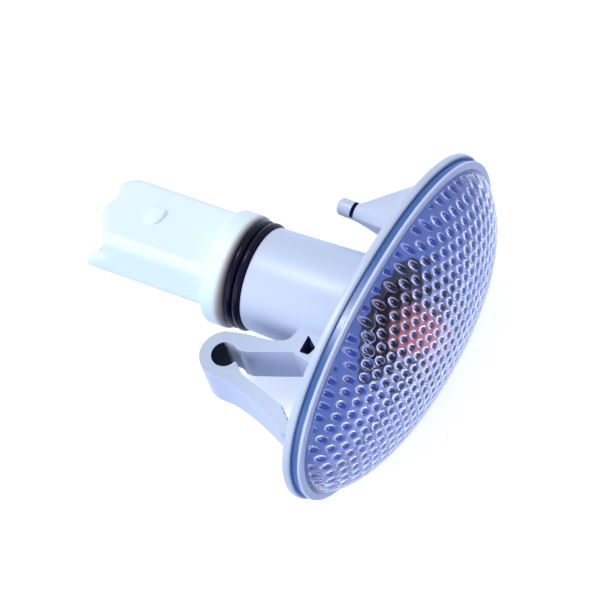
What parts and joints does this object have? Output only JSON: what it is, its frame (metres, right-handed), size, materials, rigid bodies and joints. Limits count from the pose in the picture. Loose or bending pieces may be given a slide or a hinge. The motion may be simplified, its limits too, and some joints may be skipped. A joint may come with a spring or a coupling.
{
  "type": "side repeater lamp",
  "caption": "Oval domed side repeater lamp with a clipped housing, a wedge bulb and a twist-lock bulb holder that ends in a connector socket.",
  "frame": {"origin": "middle of the rim's back face, which seats on the body panel", "axes": "-Y out through the lens, +Y into the car, X along the oval from the spring clip (-X) to the prong (+X), +Z across the oval"},
  "size_m": [0.08, 0.0802, 0.0488],
  "materials": {
    "lens_clear": "gloss, moulded clear plastic with a pale blue cast",
    "housing_grey": "satin moulded plastic",
    "rubber_black": "greased, glossy",
    "holder_white": "satin moulded plastic",
    "terminal_metal": "tinned",
    "bulb_amber": "gloss, amber coated",
    "bulb_wire": "drawn wire"
  },
  "bodies": {
    "lamp": {"lens": "lens_clear", "housing": "housing_grey"},
    "holder": {"sealing_ring": "rubber_black", "bulb_holder": "holder_white", "terminal_left": "terminal_metal", "terminal_right": "terminal_metal", "bulb_glass": "bulb_amber", "bulb_leads": "bulb_wire", "bulb_filament": "bulb_wire"}
  },
  "joints": [
    {"name": "holder_twist", "type": "hinge", "parent": "lamp", "child": "holder", "pos_m": [0.0011, 0, 0], "axis": [-0.0464, 0.9989, 0], "range_deg": [0, 45]}
  ]
}
